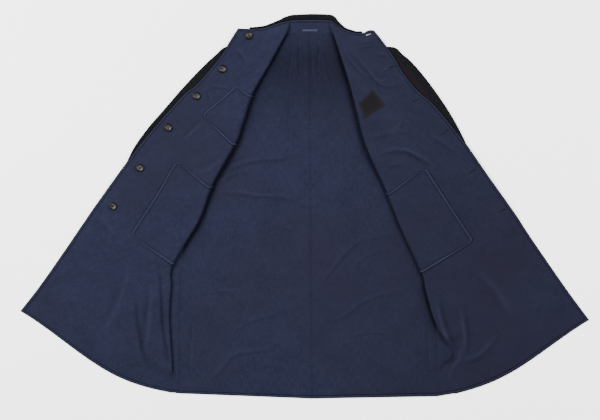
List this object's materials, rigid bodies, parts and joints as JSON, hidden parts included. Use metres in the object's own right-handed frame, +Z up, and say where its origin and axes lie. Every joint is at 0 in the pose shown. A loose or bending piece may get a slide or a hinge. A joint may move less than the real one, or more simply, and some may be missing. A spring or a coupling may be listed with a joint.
{
  "type": "balmacaan coat",
  "caption": "Single-breasted raglan coat laid open and flat, lining side up, its fronts turned back over the sleeves, with a stand and fall collar, patch pockets and horn buttons.",
  "frame": {"origin": "on the floor under the middle of the coat's bounding box", "axes": "+X to the right and +Y towards the collar, seen from above, +Z up, away from the floor that the coat lies on"},
  "size_m": [1.536, 1.0383, 0.0201],
  "materials": {
    "front_left": "matt navy cotton inside, black wool outside",
    "front_right": "matt navy cotton inside, black wool outside",
    "back_left": "matt navy cotton inside, black wool outside",
    "back_right": "matt navy cotton inside, black wool outside",
    "sleeve_left": "black wool",
    "sleeve_right": "black wool",
    "collar_stand": "matt navy cotton inside, black wool outside",
    "collar_leaf": "black wool",
    "pocket_chest_left": "matt navy cotton",
    "pocket_hip_left": "matt navy cotton",
    "pocket_hip_right": "matt navy cotton",
    "label": "plain dark cloth",
    "hanger_loop": "blue-grey tape",
    "button_1": "polished brown-grey horn",
    "button_2": "polished brown-grey horn",
    "button_3": "polished brown-grey horn",
    "button_4": "polished brown-grey horn",
    "button_5": "polished brown-grey horn",
    "button_collar": "polished brown-grey horn"
  },
  "bodies": {
    "root": {"front_left": "front_left", "front_right": "front_right", "back_left": "back_left", "back_right": "back_right", "sleeve_left": "sleeve_left", "sleeve_right": "sleeve_right", "collar_stand": "collar_stand", "collar_leaf": "collar_leaf", "pocket_chest_left": "pocket_chest_left", "pocket_hip_left": "pocket_hip_left", "pocket_hip_right": "pocket_hip_right", "label": "label", "hanger_loop": "hanger_loop", "button_1": "button_1", "button_2": "button_2", "button_3": "button_3", "button_4": "button_4", "button_5": "button_5", "button_collar": "button_collar"}
  },
  "joints": []
}
